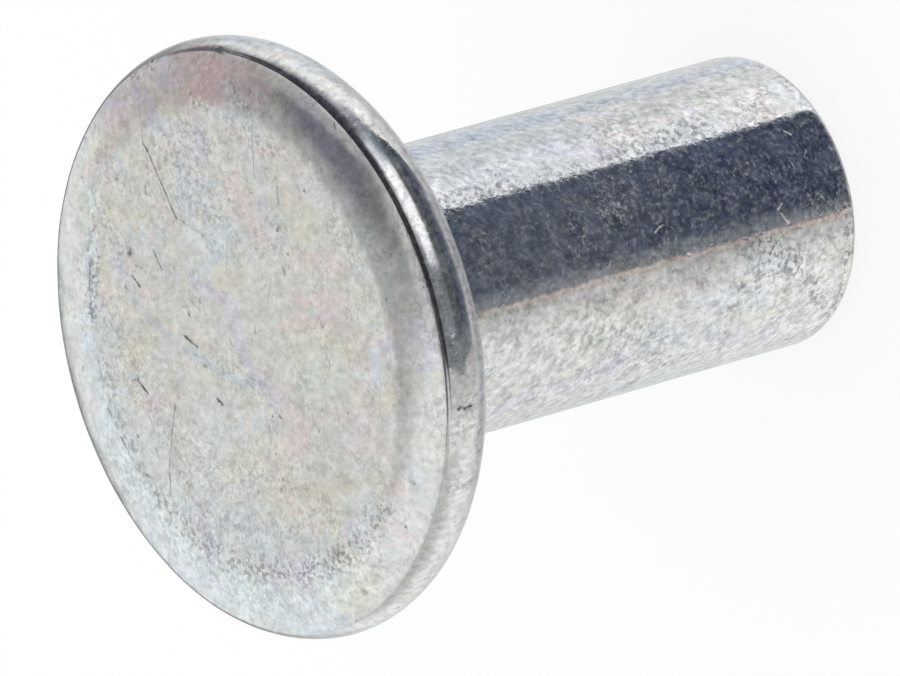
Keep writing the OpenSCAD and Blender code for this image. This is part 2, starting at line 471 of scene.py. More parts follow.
def shank_run(start):
    """From the mouth of the bore, round the worn edge and up the shank, to the bearing face."""
    end_mid = (SHANK_R - END_EDGE_R, END_EDGE_R)
    neck_mid = (SHANK_R + NECK_FILLET_R, BEARING_Z - NECK_FILLET_R)
    points = line(start, (end_mid[0], 0), steps=4)
    points += arc(end_mid, END_EDGE_R, -math.pi / 2, 0, steps=6)
    points += line(points[-1], (SHANK_R, neck_mid[1]), steps=92)
    points += arc(neck_mid, NECK_FILLET_R, math.pi, math.pi / 2, steps=6)
    return points


def head_run(start):
    """From the neck, along the bearing face and round the rim and the border, to the middle of the top."""
    edge_mid = crossing(
        BORDER_MID, BORDER_R - FRONT_EDGE_R, FRONT_MID, RIM_FRONT_R - FRONT_EDGE_R
    )
    rim_edge_turn = heading(FRONT_MID, edge_mid)
    border_edge_turn = heading(BORDER_MID, edge_mid)
    back_turn = -math.asin(RIM_BACK_H / RIM_BACK_R)
    back_foot = (BACK_MID[0] + RIM_BACK_R * math.cos(back_turn), BEARING_Z)
    points = line(start, back_foot, steps=12)
    points += arc(BACK_MID, RIM_BACK_R, back_turn, 0, steps=10)
    points += line(points[-1], (RING_R, FRONT_MID[1]), steps=1)
    points += arc(FRONT_MID, RIM_FRONT_R, 0, rim_edge_turn, steps=10)
    points += arc(edge_mid, FRONT_EDGE_R, rim_edge_turn, border_edge_turn, steps=6)
    points += arc(BORDER_MID, BORDER_R, border_edge_turn, math.pi / 2, steps=14)
    points += line(points[-1], (0, TOP_Z), steps=38)
    return points


def rivet_profile():
    """Half section from the tip of the bore, over the shank and the head, to the middle of the top."""
    points = bore_run()
    points += shank_run(points[-1])
    points += head_run(points[-1])
    return points


def turned_rivet():
    """The profile is drawn point by point from one vertex, and then spun round the axis."""
    deselect_all()
    bpy.ops.mesh.primitive_plane_add(size=MM)
    rivet = bpy.context.object
    rivet.name = rivet.data.name = "plated_rivet"
    bpy.ops.object.mode_set(mode="EDIT")
    bpy.ops.mesh.select_all(action="SELECT")
    bpy.ops.mesh.merge(type="CENTER")
    points = rivet_profile()
    bpy.ops.transform.translate(value=(points[0][0], 0, points[0][1]))
    for (x, z), (next_x, next_z) in zip(points, points[1:]):
        bpy.ops.mesh.extrude_vertices_move(
            TRANSFORM_OT_translate={"value": (next_x - x, 0, next_z - z)}
        )
    bpy.ops.mesh.select_all(action="SELECT")
    bpy.ops.mesh.spin(steps=SEGMENTS, angle=2 * math.pi, center=(0, 0, 0), axis=(0, 0, 1))
    bpy.ops.mesh.select_all(action="SELECT")
    bpy.ops.mesh.remove_doubles(threshold=WELD_GAP)
    bpy.ops.mesh.normals_make_consistent(inside=False)
    bpy.ops.object.mode_set(mode="OBJECT")
    return rivet


# Places on the surface


def on_top(x, y):
    """Place on the flat middle or the border from its mm across."""
    r = math.hypot(x, y) * MM
    drop = 0.0
    if r > FLAT_R:
        drop = BORDER_R - math.sqrt(BORDER_R**2 - (r - FLAT_R) ** 2)
    return (x * MM, y * MM, TOP_Z - drop)


def turned_place(radius, turn, height):
    """Place at a turn in degrees, which starts towards -Y and goes towards +X."""
    turn = math.radians(turn)
    return (radius * math.sin(turn), -radius * math.cos(turn), height)


def on_shank(turn, height):
    return turned_place(SHANK_R, turn, height * MM)


def on_rim(turn, height):
    z = height * MM
    mid, radius = (FRONT_MID, RIM_FRONT_R) if z > FRONT_MID[1] else (BACK_MID, RIM_BACK_R)
    r = mid[0] + math.sqrt(radius**2 - (z - mid[1]) ** 2)
    return turned_place(r, turn, z)


def placed(path, place):
    """A path of the tables as places in metres. Its last point comes twice, so a dot has a stretch."""
    return np.array([place(*point) for point in path + path[-1:]])


def path_distance(places, path):
    """Distance of each place from the nearest stretch of a path."""
    nearest = np.full(len(places), np.inf)
    least_square = 1e-18
    for start, end in zip(path, path[1:]):
        along = end - start
        square = max(along @ along, least_square)
        share = np.clip((places - start) @ along / square, 0, 1)
        gap = np.linalg.norm(places - start - share[:, None] * along, axis=1)
        nearest = np.minimum(nearest, gap)
    return nearest


def face_middles(mesh):
    middles = np.empty(len(mesh.polygons) * 3)
    mesh.polygons.foreach_get("center", middles)
    return middles.reshape(-1, 3)


def vertex_places(mesh):
    places = np.empty(len(mesh.vertices) * 3)
    mesh.vertices.foreach_get("co", places)
    return places.reshape(-1, 3)


# Handling marks, scuffs and faint colours


def all_marks():
    """Each mark as its path in metres, half width, depth and stain."""
    marks = []
    for table, place in ((TOP_MARKS, on_top), (SHANK_MARKS, on_shank), (RIM_MARKS, on_rim)):
        for _, path, half_width, depth, stain in table:
            marks.append((placed(path, place), half_width * MICRON, depth * MICRON, stain))
    return marks


def refine_near(rivet, marks, margin, cuts):
    """Faces near the marks are subdivided, so that the marks have shape of their own."""
    middles = face_middles(rivet.data)
    near = np.zeros(len(middles), bool)
    for path, half_width, _, _ in marks:
        near |= path_distance(middles, path) < half_width + margin
    make_active(rivet)
    bpy.context.tool_settings.mesh_select_mode = (False, False, True)
    bpy.ops.object.mode_set(mode="EDIT")
    bpy.ops.mesh.select_all(action="DESELECT")
    bpy.ops.object.mode_set(mode="OBJECT")
    rivet.data.polygons.foreach_set("select", near)
    bpy.ops.object.mode_set(mode="EDIT")
    bpy.ops.mesh.subdivide(number_cuts=cuts, smoothness=1.0)
    bpy.ops.object.mode_set(mode="OBJECT")


def ragged_edge(place):
    """How far a mark reaches here, as a share of its half width."""
    reach = 1.0
    for size, strength in EDGE_RAGS:
        reach += strength * noise.noise(place / size)
    return reach


def press_share(place):
    """A mark isn't pressed in evenly along its way."""
    share = PRESS_MIDDLE + PRESS_SWING * noise.noise(place / PRESS_WAVE)
    return min(max(share, PRESS_LEAST), PRESS_MOST)


def add_attribute(rivet, name, values):
    attribute = rivet.data.attributes.new(name, "FLOAT", "POINT")
    attribute.data.foreach_set("value", values)


def add_weights(rivet, name, weights):
    """A vertex group of the vertices whose weight is above 0."""
    group = rivet.vertex_groups.new(name=name)
    for k in np.nonzero(weights > 0)[0]:
        group.add([int(k)], min(weights[k], 1.0), "REPLACE")


def weigh_marks(rivet, marks):
    """A vertex group holds how deep each mark goes, and two attributes how stained or pale it is."""
    places = vertex_places(rivet.data)
    deepest = max(depth for _, _, depth, _ in marks)
    sunk = np.zeros(len(places))
    stained = np.zeros(len(places))
    pale = np.zeros(len(places))
    for path, half_width, depth, stain in marks:
        gap = path_distance(places, path)
        for k in np.nonzero(gap < half_width * MARK_REACH)[0]:
            place = Vector(places[k])
            share = gap[k] / (half_width * ragged_edge(place))
            pressed = press_share(place)
            form = (1 - min(share, 1.0) ** 2) ** 2 * pressed
            sunk[k] = max(sunk[k], form * depth / deepest)
            dirty = 1 - min(share / STAIN_REACH, 1.0) ** 2
            stained[k] = max(stained[k], dirty * pressed * stain)
            pale[k] = max(pale[k], -form * stain)
    add_weights(rivet, "marks", sunk)
    add_attribute(rivet, "stain", np.minimum(stained, 1.0))
    add_attribute(rivet, "pale", np.minimum(pale, 1.0))
    return deepest


def rim_weights(rivet):
    """The outer part of the head, from the border's last stretch to the back round."""
    places = vertex_places(rivet.data)
    r = np.hypot(places[:, 0], places[:, 1])
    add_weights(rivet, "rim", np.clip((r - WAVY_RIM_R) / WAVY_RIM_BLEND, 0, 1))


def paint(rivet, name, places, rows):
    """An attribute that is highest along the rows' paths: path in metres, half width, strength."""
    shade = np.zeros(len(places))
    for path, half_width, strength in rows:
        gap = path_distance(places, path) / half_width
        shade = np.maximum(shade, strength * np.clip(PAINT_PEAK - PAINT_FALL * gap, 0, 1))
    add_attribute(rivet, name, shade)


def paint_surface(rivet):
    """Where the plate is scuffed, and where it has each faint colour."""
    places = vertex_places(rivet.data)
    scuffs = []
    for table, place in ((TOP_SCUFFS, on_top), (SHANK_SCUFFS, on_shank)):
        scuffs += [(placed(path, place), width * MM, strength) for path, width, strength in table]
    paint(rivet, "scuff", places, scuffs)
    for name in PATCH_TINTS:
        rows = []
        for table, place in ((TOP_PATCHES, on_top), (SHANK_PATCHES, on_shank)):
            patches = table.get(name, [])
            rows += [(placed(path, place), width * MM, 1.0) for path, width in patches]
        paint(rivet, name, places, rows)


def press_in(rivet, name, depth, texture=None, group=""):
    """The surface is pressed inwards, by a cloud texture or by the weights of a vertex group."""
    make_active(rivet)
    bpy.ops.object.modifier_add(type="DISPLACE")
    modifier = rivet.modifiers[-1]
    modifier.name = name
    modifier.texture = texture
    modifier.texture_coords = "LOCAL"
    modifier.direction = "NORMAL"
    modifier.mid_level = 0.0
    modifier.strength = -depth
    modifier.vertex_group = group
    bpy.ops.object.modifier_apply(modifier=name)


def clouds(name, size):
    texture = bpy.data.textures.new(name, "CLOUDS")
    texture.noise_scale = size
    texture.noise_depth = 1
    return texture


def worn_rivet():
    rivet = turned_rivet()
    marks = all_marks()
    for margin, cuts in REFINEMENTS:
        refine_near(rivet, marks, margin, cuts)
    rim_weights(rivet)
    deepest = weigh_marks(rivet, marks)
    for name, size, depth, group in WAVES:
        press_in(rivet, name, depth, clouds(name, size), group)
    press_in(rivet, "marks", deepest, group="marks")
    paint_surface(rivet)
    return rivet


# Node helpers


def add_node(tree, kind, settings=None, values=None):
    node = tree.nodes.new(kind)
    for name, value in (settings or {}).items():
        setattr(node, name, value)
    for name, value in (values or {}).items():
        node.inputs[name].default_value = value
    return node


def join(tree, source, target):
    tree.links.new(source, target)


def maths(tree, operation, *inputs):
    """A Math node whose inputs are sockets or numbers."""
    node = add_node(tree, "ShaderNodeMath", {"operation": operation})
    for k, value in enumerate(inputs):
        if isinstance(value, (int, float)):
            node.inputs[k].default_value = value
        else:
            join(tree, value, node.inputs[k])
    return node.outputs[0]


def times(tree, first, second):
    return maths(tree, "MULTIPLY", first, second)


def times_plus(tree, first, second, third):
    """first times second, and third added."""
    return maths(tree, "MULTIPLY_ADD", first, second, third)


def between(tree, share, at_none, at_full):
    """A number that goes from at_none to at_full with share."""
    return times_plus(tree, share, at_full - at_none, at_none)


def add_up(tree, layers, shares, total=0.0):
    """Each layer times its share, added to total."""
    for name, share in shares.items():
        total = times_plus(tree, layers[name], share, total)
    return total


def scaled(tree, vector, factor):
    """A vector or colour times a number or socket."""
    node = add_node(tree, "ShaderNodeVectorMath", {"operation": "SCALE"})
    join(tree, vector, node.inputs[0])
    if isinstance(factor, (int, float)):
        node.inputs["Scale"].default_value = factor
    else:
        join(tree, factor, node.inputs["Scale"])
    return node.outputs[0]


def ramp(tree, value, low, high, to_low=0.0, to_high=1.0):
    """A smooth step of value from low to high."""
    node = add_node(
        tree,
        "ShaderNodeMapRange",
        {"interpolation_type": "SMOOTHSTEP"},
        {"From Min": low, "From Max": high, "To Min": to_low, "To Max": to_high},
    )
    join(tree, value, node.inputs["Value"])
    return node.outputs["Result"]


def blend(tree, factor, first, second):
    """A colour mix. first and second are sockets or colours."""
    node = add_node(tree, "ShaderNodeMix", {"data_type": "RGBA"})
    join(tree, factor, node.inputs["Factor"])
    for socket, value in ((node.inputs[6], first), (node.inputs[7], second)):
        if isinstance(value, tuple):
            socket.default_value = value + (1.0,)
        else:
            join(tree, value, socket)
    return node.outputs[2]


def new_material(name):
    """A material with an empty node tree, and that tree."""
    material = bpy.data.materials.new(name)
    material.use_nodes = True
    material.node_tree.nodes.clear()
    return material, material.node_tree


def put_out(tree, shader, kind="ShaderNodeOutputMaterial"):
    output = add_node(tree, kind)
    join(tree, shader, output.inputs["Surface"])


# The studio

# Each soft card: name, from and to azimuth, softness at both, from and to elevation, softness at both,
# colour. Azimuth 0 is towards -Y and 90 towards +X, in degrees. A later card lies over an earlier one.
STUDIO = [
    ("dark ceiling", -180, 180, 1, 1, 66, 130, 10, 1, (0.10, 0.105, 0.12)),
    ("back wall", 150, 226, 10, 12, 4, 70, 12, 5, (0.90, 0.92, 0.93)),
    ("pale back wall", 150, 188, 12, 6, 33, 70, 4, 5, (0.78, 0.775, 0.765)),
    ("left wall", -134, -60, 20, 10, -6, 64, 20, 6, (0.60, 0.60, 0.60)),
    ("low rose dusk", 150, 165, 6, 3, 12, 30, 8, 6, (0.66, 0.635, 0.655)),
    ("rose dusk", 149, 173, 6, 5, 27, 46, 12, 3, (0.515, 0.473, 0.475)),
    ("dark over the front", -44, 141, 16, 6, 31, 130, 6, 1, (0.035, 0.035, 0.045)),
    ("dark over the right", 39, 125, 17, 8, 5, 41, 13, 8, (0.06, 0.06, 0.08)),
    ("dusk behind", 144, 185, 6, 6, 41.8, 68, 2.4, 4, (0.458, 0.462, 0.462)),
    ("dark heart of the dusk", 154.5, 174, 3, 7, 47, 65, 4, 6, (0.187, 0.188, 0.208)),
    ("pale side floor", 70, 98, 10, 8, -60, -16, 8, 8, (1.10, 1.11, 1.15)),
    ("grey side floor", 94, 119, 4, 6, -60, -22, 8, 8, (0.875, 0.89, 0.92)),
    ("pale back floor", 140, 218, 16, 16, -54, -22, 10, 8, (0.82, 0.85, 0.855)),
    ("blue side floor", 124, 145, 8, 14, -62, -22, 14, 12, (0.74, 0.80, 0.91)),
    ("dark back floor", 173, 185, 5, 5, -58, -22, 10, 8, (0.28, 0.28, 0.29)),
    ("grey by the front post", -43, 20, 22, 9, -58, 34, 9, 2, (0.50, 0.505, 0.505)),
    ("front post", -29, 20, 1.5, 9, -58, 34, 9, 2, (0.17, 0.19, 0.225)),
    ("low dark screen", -15.5, 59.3, 7.5, 1.0, -64, -8, 14, 6, (0.001, 0.020, 0.070)),
    ("grey over the low screen", -14, 61.5, 8, 4, -30, -8, 4, 5, (0.085, 0.09, 0.10)),
    ("warm strip", -28.8, -25.4, 1.2, 1.2, -56, -24, 6, 6, (0.66, 0.54, 0.49)),
    ("bright strip", 59.9, 62.4, 0.6, 1.4, -58, -24, 6, 8, (1.35, 1.35, 1.36)),
    ("window", 11, 57, 6, 10, -4, 22, 9, 6, (1.24, 1.24, 1.33)),
    ("window jamb", 47, 72, 5, 5, -14, 8, 12, 18, (0.15, 0.19, 0.27)),
    ("grey behind the right", 120, 148, 9, 10, -9, 37, 9, 13, (0.17, 0.16, 0.18)),
    ("floor below", -180, 180, 1, 1, -130, -60, 1, 40, (0.33, 0.33, 0.37)),
    ("far floor", 137, 208, 13, 18, -28, 5, 12, 7, (0.32, 0.32, 0.33)),
    ("dark far floor", 150, 200, 10, 10, -30, 7, 12, 6, (0.29, 0.29, 0.30)),
]

# Colour that mirrors meet where no card stands
STUDIO_WHITE = (0.98, 0.99, 1.01)
# A card from this many degrees on goes all the way round, so its upright edges are set past a full turn
ALL_ROUND = 360
PAST_ROUND = 400
# A card's own inputs, in the order of its numbers in STUDIO. From and To are counted from its middle.
CARD_SIDES = ("From", "To", "From Soft", "To Soft", "Low", "High", "Low Soft", "High Soft")
# Share of the floor's white that is its own. The rest keeps the shadow.
FLOOR_GLOW = 0.8
FLOOR_SIZE = 4.0


def soft_side(tree, value, edge, soft, rising):
    """A soft step at a card's edge, up or down."""
    step = add_node(tree, "ShaderNodeMapRange", {"interpolation_type": "SMOOTHSTEP"})
    join(tree, value, step.inputs["Value"])
    join(tree, maths(tree, "SUBTRACT", edge, soft), step.inputs["From Min"])
    join(tree, maths(tree, "ADD", edge, soft), step.inputs["From Max"])
    step.inputs["To Min"].default_value = 0.0 if rising else 1.0
    step.inputs["To Max"].default_value = 1.0 if rising else 0.0
    return step.outputs["Result"]


def card_group():
    """A soft-edged card in the surroundings, as a mask from azimuth and elevation."""
    tree = bpy.data.node_groups.new("soft card", "ShaderNodeTree")
    for name in ("Azimuth", "Elevation", "Middle") + CARD_SIDES:
        tree.interface.new_socket(name, in_out="INPUT", socket_type="NodeSocketFloat")
    tree.interface.new_socket("Mask", in_out="OUTPUT", socket_type="NodeSocketFloat")
    given = add_node(tree, "NodeGroupInput").outputs
    end = add_node(tree, "NodeGroupOutput")
    turn = maths(tree, "SUBTRACT", given["Azimuth"], given["Middle"])
    turn = maths(tree, "WRAP", turn, 180.0, -180.0)
    mask = soft_side(tree, turn, given["From"], given["From Soft"], True)
    height = given["Elevation"]
    for value, edge, rising in ((turn, "To", False), (height, "Low", True), (height, "High", False)):
        side = soft_side(tree, value, given[edge], given[edge + " Soft"], rising)
        mask = times(tree, mask, side)
    join(tree, mask, end.inputs["Mask"])
    return tree


def sight_angles(tree):
    """Azimuth and elevation of a look into the surroundings, in degrees."""
    place = add_node(tree, "ShaderNodeTexCoord")
    split = add_node(tree, "ShaderNodeSeparateXYZ")
    join(tree, place.outputs["Generated"], split.inputs[0])
    x, y, z = split.outputs
    degrees = 180 / math.pi
    azimuth = times(tree, maths(tree, "ARCTAN2", x, times(tree, y, -1.0)), degrees)
    elevation = times(tree, maths(tree, "ARCSINE", z), degrees)
    return azimuth, elevation


def card_mask(tree, group, name, angles, sides):
    start, end = sides[:2]
    middle = (start + end) / 2
    if end - start >= ALL_ROUND:
        start, end = -PAST_ROUND, PAST_ROUND
    values = dict(zip(CARD_SIDES, (start - middle, end - middle) + sides[2:]))
    values["Middle"] = middle
    mask = add_node(tree, "ShaderNodeGroup", {"node_tree": group, "label": name}, values)
    for angle, socket in zip(angles, ("Azimuth", "Elevation")):
        join(tree, angle, mask.inputs[socket])
    return mask.outputs["Mask"]


def make_world():
    """White for sight and for diffuse light. Metal mirrors the studio's soft cards."""
    world = bpy.data.worlds.new("studio")
    bpy.context.scene.world = world
    world.use_nodes = True
    world.cycles.sampling_method = "NONE"
    tree = world.node_tree
    tree.nodes.clear()
    angles = sight_angles(tree)
    group = card_group()
    colour = STUDIO_WHITE
    for name, *sides, card in STUDIO:
        mask = card_mask(tree, group, name, angles, tuple(sides))
        colour = blend(tree, mask, colour, card)
    seen = add_node(tree, "ShaderNodeLightPath")
    colour = blend(tree, seen.outputs["Is Glossy Ray"], (1.0, 1.0, 1.0), colour)
    background = add_node(tree, "ShaderNodeBackground")
    join(tree, colour, background.inputs["Color"])
    put_out(tree, background.outputs[0], "ShaderNodeOutputWorld")


def floor_material():
    """Pale and matt. Looked at from below, the floor isn't there."""
    material, tree = new_material("pale floor")
    seen = add_node(tree, "ShaderNodeLightPath")
    sight = maths(tree, "ADD", seen.outputs["Is Camera Ray"], seen.outputs["Is Glossy Ray"])
    sight = maths(tree, "ADD", sight, seen.outputs["Is Transmission Ray"])
    rest = 1 - FLOOR_GLOW
    matt = add_node(tree, "ShaderNodeBsdfDiffuse", None, {"Color": (rest, rest, rest, 1)})
    glow = add_node(tree, "ShaderNodeEmission", None, {"Color": (1, 1, 1, 1)})
    join(tree, times(tree, sight, FLOOR_GLOW), glow.inputs["Strength"])
    both = add_node(tree, "ShaderNodeAddShader")
    join(tree, matt.outputs[0], both.inputs[0])
    join(tree, glow.outputs[0], both.inputs[1])
    clear = add_node(tree, "ShaderNodeBsdfTransparent")
    side = add_node(tree, "ShaderNodeNewGeometry")
    pick = add_node(tree, "ShaderNodeMixShader")
    join(tree, side.outputs["Backfacing"], pick.inputs[0])
    join(tree, both.outputs[0], pick.inputs[1])
    join(tree, clear.outputs[0], pick.inputs[2])
    put_out(tree, pick.outputs[0])
    return material


def make_floor():
    """The floor keeps the shadow. The plate mirrors the studio alone, as in the photograph."""
    deselect_all()
    bpy.ops.mesh.primitive_plane_add(size=FLOOR_SIZE, location=(0, 0, 0))
    floor = bpy.context.object
    floor.name = "floor"
    floor.data.materials.append(floor_material())
    floor.visible_glossy = False


def make_camera():
    """Where the photograph was taken from, in the part's frame."""
    place = (0, -368.243 * MM, 307.695 * MM)
    right = (-0.27016, -0.60402, -0.74978)
    up = (0.96281, -0.16725, -0.21218)
    back = (0.00276, -0.77922, 0.62674)
    image_width = 900
    focal_pixels = 17815.5
    nearest, farthest = 0.01, 10
    deselect_all()
    bpy.ops.object.camera_add()
    camera = bpy.context.object
    rows = [[right[k], up[k], back[k], place[k]] for k in range(3)]
    camera.matrix_world = Matrix(rows + [[0, 0, 0, 1]])
    camera.data.sensor_width = 36
    camera.data.lens = focal_pixels * camera.data.sensor_width / image_width
    camera.data.clip_start = nearest
    camera.data.clip_end = farthest
    bpy.context.scene.camera = camera


# Zinc plate. Patterns are laid out in mm.

SILVER = (0.765, 0.768, 0.733)
DIRT = (0.05, 0.055, 0.065)

# Faint colours of the passivated plate all over: colour, size in mm, seed, from and to noise value,
# strength
TINTS = [
    ((0.80, 0.72, 0.735), 2.2, 3.0, 0.52, 0.60, 0.28),
    ((0.775, 0.765, 0.67), 1.9, 11.0, 0.52, 0.59, 0.32),
    ((0.735, 0.80, 0.82), 1.6, 23.0, 0.54, 0.59, 0.40),
    ((0.74, 0.71, 0.80), 1.5, 37.0, 0.56, 0.62, 0.32),
    ((0.80, 0.73, 0.72), 0.30, 43.0, 0.50, 0.66, 0.25),
    ((0.69, 0.78, 0.80), 0.30, 47.0, 0.50, 0.66, 0.25),
]

# Colour, strength and raggedness of the patches in TOP_PATCHES and SHANK_PATCHES
PATCH_TINTS = {
    "cool veil": ((0.655, 0.71, 0.775), 0.90, 0.35),
    "pale blue": ((0.80, 0.84, 0.83), 0.95, 0.6),
    "warm grey": ((0.73, 0.72, 0.695), 0.80, 0.6),
    "straw": ((0.785, 0.77, 0.655), 0.65, 1.0),
    "green": ((0.715, 0.785, 0.73), 0.65, 1.0),
    "blue": ((0.745, 0.805, 0.835), 0.90, 1.0),
    "violet": ((0.735, 0.72, 0.825), 0.85, 1.0),
    "rose": ((0.835, 0.70, 0.69), 0.55, 1.0),
    "deep rose": ((0.84, 0.67, 0.67), 0.70, 1.0),
    "blue streak": ((0.665, 0.73, 0.785), 0.75, 0.35),
    "violet streak": ((0.715, 0.69, 0.80), 0.70, 0.5),
}

# Changes along the axis: from and to height in mm, and the value at both. The shank and the rim were
# tumbled harder than the top, which makes their plate coarse.
ZONES = {
    "coarse": (17.85, 18.02, 1.0, 0.0),
    "rim": (16.4, 16.9, 0.0, 1.0),
    "under the head": (16.2, 16.6, 1.0, 0.0),
    "upper shank": (8.0, 12.0, 0.0, 1.0),
    "lighter end": (2.0, 4.5, 0.05, 0.0),
    "oxidised": (2.5, 6.0, 0.7, 1.0),
    # The metal gets duller up the shank, towards the head.
    "duller upwards": (3.0, 9.0, 0.0, 0.06),
}

# Noises in the plate: size in mm, seed, detail, stretch, roughness
NOISES = {
    "grain": (0.17, 1.0, 2.0, (1, 1.3, 1.3), 0.6),
    "mottle": (0.42, 7.0, 3.0, (1, 1.3, 1.3), 0.55),
    "bloom": (0.15, 17.0, 3.0, (1, 1, 1), 0.6),
    "dimples": (0.55, 71.0, 1.0),
    "crumb noise": (0.15, 77.0, 2.0),
    "glint noise": (0.12, 83.0, 2.0),
    "cluster noise": (0.9, 61.0, 3.0, (1.3, 1, 1)),
}

# Layers that show where a noise is high: name of the noise, value where it sets in, value where it is full
HIGH_PLACES = {
    "crumbs": ("crumb noise", 0.51, 0.60),
    # Glints are painted highlights: the plate is made lighter and paler in them, and a little raised.
    "glints": ("glint noise", 0.56, 0.66),
    "clusters": ("cluster noise", 0.50, 0.62),
    "flecks": ("bloom", 0.51, 0.63),
    "clouds": ("mottle", 0.42, 0.62),
}

# Specks in the plate: spacing and radius in mm, share of the cells that have one, seed, stretch, turn
SPECKS = {
    "pits": (0.75, 0.055, 0.35, 4.0),
    "dust": (0.24, 0.052, 0.30, 9.0),
    "dashes": (0.30, 0.026, 0.30, 29.0, (4.5, 1, 2), 0.12),
    "slants": (0.34, 0.026, 0.22, 31.0, (5, 1, 2), 0.95),
}

# Crinkled lines: size of their noise in mm, half width as a share of its range, seed
CRINKLES = (0.36, 0.030, 13.0)

# How much dirt each layer holds
DIRT_SHARES = {
    "stain": 0.66,
    "pits": 0.42,
    "dust": 0.48,
    "dashes": 0.38,
    "slants": 0.30,
    "crumbs": 0.50,
    "lines": 0.42,
}

# How much lighter the plate is in each layer, and how far it swings with each noise: on the top,
# elsewhere. The lighter glints and highlit sides are painted highlights.
LIGHTER = {"glints": 0.34, "highlit sides": 0.16}
SWINGS = {"grain": (0.54, 1.25), "mottle": (0.60, 0.85)}

# How much pale oxide each layer holds, and how much rougher it is. In the glints and the highlit sides the
# pale oxide is partly a painted highlight.
OXIDE_SHARES = {"flecks": 0.19, "clouds": 0.05, "glints": 0.34, "highlit sides": 0.22}
ROUGHER = {"stain": 0.2, "pits": 0.2}

# How high each layer stands, in micrometres
RELIEF = {
    "grain": 0.5,
    "dimples": 6.0,
    "glints": 0.7,
    "pits": -6.0,
    "dust": -1.2,
    "dashes": -1.5,
    "crumbs": -0.8,
    "lines": -0.8,
}


def noise_at(tree, place, size, seed=0.0, detail=2.0, stretch=(1, 1, 1), rough=0.5):
    """Noise whose features are about size mm. stretch draws them out along an axis."""
    mapping = add_node(tree, "ShaderNodeMapping")
    mapping.inputs["Location"].default_value = (seed, seed * 0.7, -seed)
    mapping.inputs["Rotation"].default_value = (0.35, 0.25, 0.12)
    mapping.inputs["Scale"].default_value = tuple(1 / s for s in stretch)
    join(tree, place, mapping.inputs["Vector"])
    node = add_node(
        tree, "ShaderNodeTexNoise", None, {"Scale": 1 / size, "Detail": detail, "Roughness": rough}
    )
    join(tree, mapping.outputs[0], node.inputs["Vector"])
    return node.outputs["Fac"]


def read_attribute(tree, name):
    return add_node(tree, "ShaderNodeAttribute", {"attribute_name": name}).outputs["Fac"]


def specks(tree, place, spacing, radius, share, seed, stretch=(1, 1, 1), turn=0.0):
    """Pits of varied size, in a share of the cells of a pattern. Stretched, they are dashes."""
    mapping = add_node(tree, "ShaderNodeMapping", {"vector_type": "TEXTURE"})
    mapping.inputs["Location"].default_value = (seed, seed, seed)
    mapping.inputs["Rotation"].default_value = (0.0, 0.0, turn)
    mapping.inputs["Scale"].default_value = stretch
    join(tree, place, mapping.inputs["Vector"])
    cells = add_node(tree, "ShaderNodeTexVoronoi", None, {"Scale": 1 / spacing})
    join(tree, mapping.outputs[0], cells.inputs["Vector"])
    split = add_node(tree, "ShaderNodeSeparateColor")
    join(tree, cells.outputs["Color"], split.inputs[0])
    here = maths(tree, "LESS_THAN", split.outputs[0], share)
    gap = times(tree, cells.outputs["Distance"], spacing)
    reach = between(tree, split.outputs[1], 0.4 * radius, 1.4 * radius)
    inside = maths(tree, "DIVIDE", gap, reach)
    return times(tree, ramp(tree, inside, 0.45, 1.0, to_low=1.0, to_high=0.0), here)


def crinkles(tree, place, size, width, seed):
    """Thin crinkled lines where a noise passes its middle value, and beside each a thin painted highlight.
    """
    field = noise_at(tree, place, size, seed, detail=3.0, stretch=(1.4, 1, 1), rough=0.6)
    here = ramp(tree, noise_at(tree, place, size * 0.7, seed + 5.0, detail=1.0), 0.46, 0.54)
    sides = []
    for middle in (0.5, 0.5 + 1.9 * width):
        off = maths(tree, "ABSOLUTE", maths(tree, "SUBTRACT", field, middle))
        sides.append(times(tree, ramp(tree, off, 0.0, width, to_low=1.0, to_high=0.0), here))
    return sides


def plate_zones(tree, place):
    """How far each zone along the axis counts here."""
    split = add_node(tree, "ShaderNodeSeparateXYZ")
    join(tree, place, split.inputs[0])
    zones = {name: ramp(tree, split.outputs["Z"], *ends) for name, ends in ZONES.items()}
    zones["by the head"] = times(tree, zones["upper shank"], zones["under the head"])
    return zones


def plate_layers(tree, place, zones):
    """All that lies in and on the plate, each layer as how much of it is here."""
    layers = {name: noise_at(tree, place, *form) for name, form in NOISES.items()}
    for name, (source, low, high) in HIGH_PLACES.items():
        layers[name] = ramp(tree, layers[source], low, high)
    for name, form in SPECKS.items():
        layers[name] = specks(tree, place, *form)
    layers["lines"], layers["highlit sides"] = crinkles(tree, place, *CRINKLES)
    for name in ("stain", "pale", "cool veil"):
        layers[name] = read_attribute(tree, name)
    gather(tree, layers, zones["coarse"])
    even_out(tree, layers, zones["rim"])
    return layers


def gather(tree, layers, coarse):
    """Scuffs lie where they were painted and in clusters of their own, and dust in clusters too."""
    clusters = layers["clusters"]
    general = times(tree, clusters, between(tree, coarse, 0.24, 0.46))
    scuff = maths(tree, "MAXIMUM", read_attribute(tree, "scuff"), general)
    scuff = maths(tree, "ADD", scuff, between(tree, coarse, 0.10, 0.12))
    crinkled = between(tree, scuff, 0.35, 1.0)
    dusty = maths(tree, "MAXIMUM", clusters, times(tree, read_attribute(tree, "blue"), 0.5))
    shares = {
        "crumbs": scuff,
        "glints": scuff,
        "lines": crinkled,
        "highlit sides": crinkled,
        "dust": between(tree, dusty, 0.25, 1.0),
    }
    for name, share in shares.items():
        layers[name] = times(tree, layers[name], share)


def even_out(tree, layers, rim):
    """The flecks are fainter on the rim, over an even ground."""
    fainter = between(tree, rim, 1.0, 0.4)
    layers["flecks"] = times_plus(tree, layers["flecks"], fainter, times(tree, rim, 0.17))


